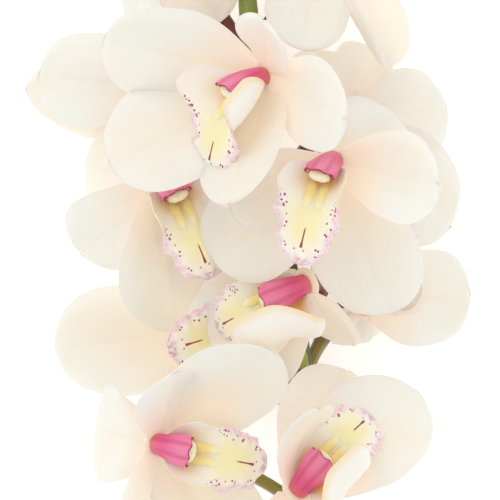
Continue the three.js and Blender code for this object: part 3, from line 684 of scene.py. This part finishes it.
def lip_skin():
    """Lip: cream, a yellow throat, rosy margin, crimson dashes and dots and a maroon line.

    Across and along it are also read in mm (wide, far), so that its marks keep their true size.
    """
    skin = Finish("lip flesh")
    u, v = skin.surface()
    wide, far = skin.surface("spots")
    margin = skin.times(skin.attribute("margin"), 10)
    cluster = skin.attribute("cluster")
    front = skin.between(u, 1.02, 0.98, smooth=False)
    across = skin.from_middle(u)
    where = skin.place()
    wander = skin.noise(where, 300, 3)
    stipple = skin.noise(where, 800, 3)
    colour = skin.mix(wander, (0.95, 0.9, 0.79), (0.96, 0.92, 0.85))
    # The back of the lip turns tan towards its edges: partly the lip's own tone and partly painted shade on
    # the backs of the lobes.
    back = skin.math("SUBTRACT", 1.0, front)
    behind = skin.times(back, skin.between(margin, 4.5, 0.3))
    colour = skin.mix(behind, colour, (0.95, 0.76, 0.5))
    throat = skin.times(skin.between(across, 0.6, 0.05), skin.between(v, 0.52, 0.16))
    colour = skin.mix(skin.times(throat, front), colour, (0.9, 0.56, 0.17))
    middle = skin.times(skin.between(across, 0.65, 0.1),
                        skin.times(skin.between(v, 0.4, 0.55), skin.between(v, 0.95, 0.7)))
    colour = skin.mix(skin.times(middle, 0.7), colour, (0.96, 0.83, 0.37))
    edge = skin.math("ADD", margin, skin.times(skin.math("SUBTRACT", wander, 0.5), 4.0))
    band = skin.times(skin.between(edge, 3.6, 1.2), skin.between(v, 0.42, 0.52))
    rosy = skin.times(band, skin.between(stipple, 0.38, 0.66))
    colour = skin.mix(skin.times(band, 0.55), colour, (0.93, 0.66, 0.76))
    colour = skin.mix(skin.times(rosy, 0.5), colour, (0.84, 0.38, 0.54))
    dash = skin.cells(skin.joined(skin.math("DIVIDE", wide, 1.7), skin.math("DIVIDE", far, 0.95)))
    dashes = skin.times(skin.between(dash, 0.34, 0.22), skin.between(cluster, 0.28, 0.5))
    dot = skin.cells(skin.joined(skin.math("DIVIDE", wide, 3.1), skin.math("DIVIDE", far, 3.4)))
    ring = skin.times(skin.between(margin, 1.6, 2.4), skin.between(margin, 6.0, 4.6))
    ring = skin.times(ring, skin.between(v, 0.5, 0.56))
    dots = skin.times(skin.between(dot, 0.15, 0.1), ring)
    marks = skin.times(skin.math("MAXIMUM", dashes, dots), front)
    colour = skin.mix(marks, colour, (0.36, 0.02, 0.085))
    width = skin.math("ADD", 0.22, skin.times(skin.between(far, 34.0, 37.4), 0.25))
    from_line = skin.math("SUBTRACT", skin.math("ABSOLUTE", wide), width)
    line = skin.times(skin.between(from_line, 0.15, 0.0),
                      skin.times(skin.between(far, 29.0, 31.0), skin.between(far, 37.8, 37.2)))
    colour = skin.mix(skin.times(line, front), colour, (0.33, 0.03, 0.07))
    skin.colour(colour)
    skin.bump(skin.noise(where, 1100, 3), 0.3, 0.0004)
    return skin.set(Roughness=0.5, Subsurface_Weight=0.28, Subsurface_Radius=(1.0, 0.7, 0.45),
                    Subsurface_Scale=0.003).material


lip_material = lip_skin()
lip_s, lip_t = sheet_grid(LIP_ROWS, LIP_PLACES)
lip_uv = two_sides(LIP_ROWS, LIP_PLACES)
lip_thickness = LIP_THICKNESS * (1 - 0.8 * np.abs(lip_t)**4) + LIP_EDGE
for flower in FLOWERS:
    point, like = lip_sheet(flower, lip_s, lip_t)
    rings = skin_of(point, facing(point, like), lip_thickness)
    marks = {name: np.concatenate([value, value[:, ::-1]], axis=1)
             for name, value in zip(("margin", "cluster"), lip_marks(flower, lip_s, lip_t))}
    side = np.concatenate([lip_t, lip_t[:, ::-1], lip_t[:, :1]], axis=1)
    along = np.broadcast_to(lip_s[:, :1], side.shape)
    marks["spots"] = (side * lip_half(flower, along, side), along * LIP["length"])
    shell(f"{flower['name']}_lip_blade", rings, lip_material, "lip", f"{flower['name']}_lip", uv=lip_uv,
          marks=marks)


# -------- the calluses
# Two smooth yellow ridges along the middle of each lip, from its throat to the bend of the tongue,
# grown from the lip.
CALLUS_SIDE, CALLUS_RADIUS, CALLUS_FROM, CALLUS_TO, CALLUS_SUNK = 2.3, 2.7, 0.12, 0.53, 0.95
CALLUS_RINGS, CALLUS_SIDES = 44, 20


def callus_skin():
    """Callus: egg yellow, paler towards its far end, moist."""
    skin = Finish("callus flesh")
    _, v = skin.surface()
    mottle = skin.noise(skin.place(), 400, 3)
    yellow = skin.mix(mottle, (0.95, 0.72, 0.22), (0.97, 0.83, 0.4))
    skin.colour(skin.mix(skin.between(v, 0.6, 0.95), yellow, (0.96, 0.87, 0.55)))
    skin.bump(mottle, 0.3, 0.0003)
    return skin.set(Roughness=0.35, Subsurface_Weight=0.25, Subsurface_Scale=0.002).material


callus_material = callus_skin()
# The two draw a little together towards the tongue.
callus_s = np.linspace(CALLUS_FROM, CALLUS_TO, CALLUS_RINGS)[:, None]
share = np.linspace(0.04, 0.97, CALLUS_RINGS)
callus_radius = CALLUS_RADIUS * np.sin(np.pi * share**1.5)**0.5 * (1 + 0.05 * np.sin(17 * share))
for flower in FLOWERS:
    for side, sign in (("left", -1), ("right", 1)):
        half = lip_half(flower, callus_s, sign * np.ones_like(callus_s))
        t = sign * CALLUS_SIDE * (1.2 - 0.35 * callus_s) / half
        point, like = lip_sheet(flower, callus_s, t)
        rings = round_stalk(point[:, 0] + like[:, 0] * -CALLUS_SUNK, callus_radius, CALLUS_SIDES)
        shell(f"{flower['name']}_callus_{side}", rings, callus_material, "lip", f"{flower['name']}_lip")


# -------- the columns
# The flower's single fused organ: a pink arched bar, flat below and round above, with wings that
# widen to a hood with a thin dark rim. The hood is hollow in front.
COLUMN = {"length": 18, "base": 4, "tip": 6.2, "depth": 3.7, "level": 1.6, "rise": 1.5, "first": 0,
          "last": 28}
COLUMN_ROWS, COLUMN_PLACES = 44, 60
# The hollow of the hood: how far back from the rim each of its rings lies, and its share of full size.
HOLLOW_BACK = np.array([0.0, 0.0, 0.03, 0.09, 0.16, 0.2])
HOLLOW_SIZE = np.array([0.93, 0.86, 0.8, 0.74, 0.55, 0.1])
GROOVES, GROOVE_WIDTH, GROOVE_DEPTH = (1.13, 2.01), 0.13, 0.035
WING, SCALLOP, NOTCH, NOD = 0.8, 0.42, 1.6, 1.4


def column_frame(flower, s):
    """Middle line of the column and its sideways, upward and forward directions.

    It leans evenly from its first angle to its last, so the line is an arc of a circle.
    """
    hub, n, u, r = axes(flower)
    first, last = np.radians([COLUMN["first"], COLUMN["last"]])
    lean = first + (last - first) * s
    span = COLUMN["length"] / (last - first)
    out = COLUMN["level"] + span * (np.sin(lean) - np.sin(first))
    high = COLUMN["rise"] + span * (np.cos(lean) - np.cos(first))
    middle = hub + out[..., None] * n + high[..., None] * u
    up = np.cos(lean)[..., None] * u + np.sin(lean)[..., None] * n
    ahead = np.cos(lean)[..., None] * n - np.sin(lean)[..., None] * u
    return middle, r, up, ahead


def column_rings(flower):
    """Rings of the column, then of the hollow that goes back into its hood.

    Across, the top is a low arch with two sunk lines, its sides drawn out to wings, and the underside
    is nearly flat. Towards the rim the wings widen, the edge is scalloped above and cut back below,
    and the top nods forward.
    """
    s = np.concatenate([np.linspace(0, 1, COLUMN_ROWS), 1 - HOLLOW_BACK])
    middle, r, up, ahead = column_frame(flower, s)
    s = s[:, None]
    share = np.concatenate([np.ones(COLUMN_ROWS), HOLLOW_SIZE])[:, None]
    angle = round_the(COLUMN_PLACES)
    widening = smooth(s / 0.85) - 0.2 * smooth((s - 0.85) / 0.15)
    half = COLUMN["base"] + (COLUMN["tip"] - COLUMN["base"]) * widening
    high = np.sin(angle)
    above, below = high > 0, high < 0
    arch = np.sign(high) * np.abs(high)**np.where(above, 0.9, 0.6)
    deep = np.where(above, 1.0, 0.42 + 0.25 * (1 - s))
    groove = sum(np.exp(-((angle - at) / GROOVE_WIDTH)**2) for at in GROOVES)
    x = half * np.cos(angle) * share
    y = COLUMN["depth"] * deep * arch * share * (1 - GROOVE_DEPTH * groove * smooth(s / 0.2) * above)
    y = y + WING * smooth((s - 0.5) / 0.5) * np.cos(angle)**4 * share
    rim = SCALLOP * np.cos(6 * angle) * above - NOTCH * below * np.abs(high)
    forward = rim * smooth((s - 0.8) / 0.2) + NOD * smooth((s - 0.7) / 0.3) * above * high
    return rings_about(middle, r, x, up[:, None], y) + forward[..., None] * ahead[:, None]


def column_skin():
    """Column: magenta pink with two deeper lines, a maroon rim, pale below and inside the hood."""
    skin = Finish("column flesh")
    u, v = skin.surface()
    streaks = skin.grain(u, v, 24, 3, 3)
    pink = skin.mix(streaks, (0.7, 0.055, 0.2), (0.82, 0.13, 0.3))
    paler = skin.mix(streaks, (0.82, 0.15, 0.33), (0.9, 0.3, 0.47))
    pink = skin.mix(skin.between(v, 0.25, 0.75), pink, paler)
    first = skin.between(skin.math("ABSOLUTE", skin.math("SUBTRACT", u, 0.18)), 0.05, 0.0)
    second = skin.between(skin.math("ABSOLUTE", skin.math("SUBTRACT", u, 0.32)), 0.05, 0.0)
    lines = skin.times(skin.math("MAXIMUM", first, second), 0.45)
    pink = skin.mix(lines, pink, (0.58, 0.04, 0.12))
    pink = skin.mix(skin.between(v, 0.22, 0.0), pink, (0.7, 0.16, 0.14))
    below = skin.times(skin.between(u, 0.53, 0.6), skin.between(u, 0.97, 0.9))
    pink = skin.mix(skin.times(below, 0.8), pink, (0.88, 0.62, 0.55))
    rim = skin.times(skin.between(v, 0.855, 0.885), skin.between(v, 0.94, 0.91))
    pink = skin.mix(skin.between(v, 0.91, 0.94), pink, (0.86, 0.6, 0.42))
    skin.colour(skin.mix(rim, pink, (0.34, 0.025, 0.08)))
    skin.bump(streaks, 0.25, 0.0003)
    return skin.set(Roughness=0.34, Subsurface_Weight=0.15, Subsurface_Radius=(1.0, 0.4, 0.4),
                    Subsurface_Scale=0.002).material


column_material = column_skin()
for flower in FLOWERS:
    rings = column_rings(flower)
    shell(f"{flower['name']}_column_bar", rings, column_material, "column", f"{flower['name']}_column")


# -------- the anther caps
# A small cream cap under the hood at the tip of each column, two-lobed, that covers the pollen; it
# sits in the column's end.
CAP_WIDTH, CAP_DEPTH, CAP_LENGTH, CAP_SINK, CAP_AT = 4.2, 2.3, 5.0, 0.5, 0.95
CAP_RINGS, CAP_SIDES = 26, 28


def cap_rings(flower):
    """Rings of a bead set into the hood and leaning with it, folded above and below into two lobes."""
    middle, r, up, ahead = column_frame(flower, np.array(CAP_AT))
    s = np.linspace(0.04, 0.97, CAP_RINGS)
    size = (np.sin(np.pi * s)**0.6)[:, None]
    line = middle + (CAP_LENGTH * (s - 0.5))[:, None] * ahead - CAP_SINK * up
    angle = round_the(CAP_SIDES)
    fold_above = 0.22 * np.exp(-((angle - np.pi / 2) / 0.35)**2)
    fold_below = 0.12 * np.exp(-((angle - 3 * np.pi / 2) / 0.3)**2)
    x = CAP_WIDTH * size * np.cos(angle)
    y = CAP_DEPTH * size * np.sin(angle) * (1 - fold_above - fold_below)
    return rings_about(line, r, x, up, y)


def cap_skin():
    """Anther cap: waxy cream, mottled with a deeper yellow."""
    skin = Finish("anther cap")
    mottle = skin.noise(skin.place(), 500, 3)
    skin.colour(skin.mix(mottle, (0.93, 0.82, 0.54), (0.96, 0.9, 0.72)))
    skin.bump(mottle, 0.25, 0.0003)
    return skin.set(Roughness=0.35, Subsurface_Weight=0.25, Subsurface_Scale=0.002).material


cap_material = cap_skin()
for flower in FLOWERS:
    rings = cap_rings(flower)
    shell(f"{flower['name']}_anther_cap", rings, cap_material, "column", f"{flower['name']}_column")


# -------- the sheaths
# Three papery leaf scales clasp the bare lower stem, each rolled round it at its foot and opening
# to a point.
SHEATHS = [
    {"name": "sheath_low", "from": -318, "turn": 20},
    {"name": "sheath_middle", "from": -262, "turn": -150},
    {"name": "sheath_high", "from": -204, "turn": 60},
]
SHEATH_LENGTH, SHEATH_CLEAR, SHEATH_FLARE, SHEATH_THICKNESS, SHEATH_RIPPLE = 52, 1.3, 2.2, 0.9, 0.12
# Half the angle that it goes round the stem, at its foot and at its point (degrees).
SHEATH_WRAP, SHEATH_TIP = 150, 14
SHEATH_ROWS, SHEATH_PLACES = 48, 60


def sheath_rings(sheath):
    """Rings of a rolled leaf: an arc round the stem that narrows along it and stands away at its point."""
    s = np.linspace(0, 1, SHEATH_ROWS)
    t = np.linspace(-1, 1, SHEATH_PLACES)
    stops = [stem_at(sheath["from"] + SHEATH_LENGTH * share) for share in s]
    line = np.array([stop[0] for stop in stops])
    radius = np.array([stop[2] for stop in stops])
    ahead = stops[0][1]
    across = unit(np.cross([0, 0, 1], ahead))
    above = np.cross(ahead, across)
    wide = np.radians(SHEATH_WRAP + (SHEATH_TIP - SHEATH_WRAP) * s**1.5)
    angle = np.radians(sheath["turn"]) + t * wide[:, None]
    normal = np.cos(angle)[..., None] * above + np.sin(angle)[..., None] * across
    away = radius + SHEATH_CLEAR + SHEATH_FLARE * s**2
    ripple = SHEATH_RIPPLE * np.cos(26 * angle)
    point = line[:, None] + (away[:, None] + ripple)[..., None] * normal
    thickness = SHEATH_THICKNESS * (1 - 0.7 * np.abs(t)**4) * (1 - 0.5 * s[:, None])
    return skin_of(point, normal, thickness)


def sheath_skin():
    """Sheath: dry straw-green, ribbed along it, brown at its point and torn edge."""
    skin = Finish("sheath paper")
    u, v = skin.surface()
    lines = skin.grain(u, v, 60, 3, 3)
    paper = skin.mix(lines, (0.3, 0.33, 0.12), (0.52, 0.5, 0.26))
    across = skin.from_middle(u)
    dry = skin.math("MAXIMUM", skin.between(v, 0.7, 1.0), skin.between(across, 0.85, 1.0))
    skin.colour(skin.mix(skin.times(dry, 0.8), paper, (0.42, 0.27, 0.12)))
    skin.bump(lines, 0.45, 0.0005)
    return skin.set(Roughness=0.62, Subsurface_Weight=0.08, Subsurface_Scale=0.002).material


sheath_material = sheath_skin()
sheath_uv = two_sides(SHEATH_ROWS, SHEATH_PLACES)
for sheath in SHEATHS:
    rings = sheath_rings(sheath)
    shell(f"{sheath['name']}_leaf", rings, sheath_material, "sheath", sheath["name"], uv=sheath_uv)


# -------- the bud
# The last bud, not yet open, at the tip of the stem: a closed egg of three sepals whose edges meet
# in three shallow furrows.
BUD_LENGTH, BUD_BASE, BUD_TIP, BUD_SWELL, BUD_GAP = 19, 2, 0.6, 3.6, 0.3
BUD_RINGS, BUD_SIDES, FURROW_DEPTH, FURROW_TWIST = 50, 48, 0.07, 0.8


def bud_rings():
    """Rings along the stem's last direction: a sine bulge on a taper, with three furrows that twist."""
    s = np.linspace(0, 1, BUD_RINGS)
    ends = stem_line(np.array([0.9999, 1.0]))
    ahead = unit(ends[1] - ends[0])
    line = ends[1] + (BUD_GAP + (BUD_LENGTH - BUD_GAP) * s)[:, None] * ahead
    radius = BUD_BASE + (BUD_TIP - BUD_BASE) * s + BUD_SWELL * np.sin(np.pi * s)
    x = unit(np.cross([0, 0, 1], ahead))
    y = np.cross(ahead, x)
    angle = round_the(BUD_SIDES)
    furrow = np.exp(-(np.sin(1.5 * (angle - FURROW_TWIST * s[:, None])) / 0.22)**2)
    r = radius[:, None] * (1 - FURROW_DEPTH * furrow)
    return rings_about(line, x, r * np.cos(angle), y, r * np.sin(angle))


def bud_skin():
    """Bud: pale green-cream, greener at its foot and point, fine veins along it."""
    skin = Finish("bud flesh")
    u, v = skin.surface()
    lines = skin.grain(u, v, 40, 2, 3)
    cream = skin.mix(lines, (0.68, 0.68, 0.4), (0.8, 0.78, 0.56))
    green = skin.math("MAXIMUM", skin.between(v, 0.35, 0.0), skin.between(v, 0.8, 1.0))
    skin.colour(skin.mix(green, cream, (0.36, 0.42, 0.13)))
    skin.bump(lines, 0.3, 0.0003)
    return skin.set(Roughness=0.42, Subsurface_Weight=0.2, Subsurface_Scale=0.003).material


shell("bud_closed", bud_rings(), bud_skin(), "bud", "bud")


# -------- the table and the light
# A plain white table top that glows a little, so that it stays white, two broad soft lamps above it
# and a camera straight above the flowers.
from mathutils import Vector

TABLE_HALF = 8.0
AIM = (0, 0.1, 0.05)
FIELD, CAMERA_HEIGHT, FOCUS_HEIGHT, SENSOR = 0.185, 2.0, 0.07, 36


def table_top():
    """A flat square far wider than the stem, matt white with a trace of grain."""
    mesh = bpy.data.meshes.new("table")
    corners = [(x * TABLE_HALF, y * TABLE_HALF, 0) for x, y in ((-1, -1), (1, -1), (1, 1), (-1, 1))]
    mesh.from_pydata(corners, [], [(0, 1, 2, 3)])
    skin = Finish("table white")
    skin.colour(skin.mix(skin.noise(skin.place(), 3, 2), (0.9, 0.9, 0.9), (0.92, 0.92, 0.92)))
    skin.set(Roughness=0.7, Emission_Color=(1, 1, 1, 1), Emission_Strength=0.36)
    mesh.materials.append(skin.material)
    top = bpy.data.objects.new("table", mesh)
    bpy.context.scene.collection.objects.link(top)


def lamp(name, where, towards, size, power):
    """A square area lamp that faces a point."""
    data = bpy.data.lights.new(name, "AREA")
    data.size, data.energy = size, power
    made = bpy.data.objects.new(name, data)
    made.location = where
    made.rotation_euler = (Vector(towards) - Vector(where)).to_track_quat("-Z", "Y").to_euler()
    bpy.context.scene.collection.objects.link(made)


table_top()
lamp("key", (-0.8, 0.9, 1.3), AIM, 1.2, 4.5)
lamp("fill", (0.9, -0.3, 1.4), AIM, 1.4, 2.5)
world = bpy.data.worlds.new("studio")
world.use_nodes = True
sky = world.node_tree.nodes["Background"]
sky.inputs["Color"].default_value = (1, 1, 1, 1)
sky.inputs["Strength"].default_value = 0.86
bpy.context.scene.world = world
bpy.context.scene.view_settings.view_transform = "Standard"

camera = bpy.data.cameras.new("camera")
camera.sensor_width = SENSOR
camera.lens = SENSOR * CAMERA_HEIGHT / FIELD
camera.clip_start, camera.clip_end = 0.1, 50
eye = bpy.data.objects.new("camera", camera)
eye.location = (-CENTRE[0] * MILLIMETRE, -CENTRE[1] * MILLIMETRE, CAMERA_HEIGHT + FOCUS_HEIGHT)
bpy.context.scene.collection.objects.link(eye)
bpy.context.scene.camera = eye
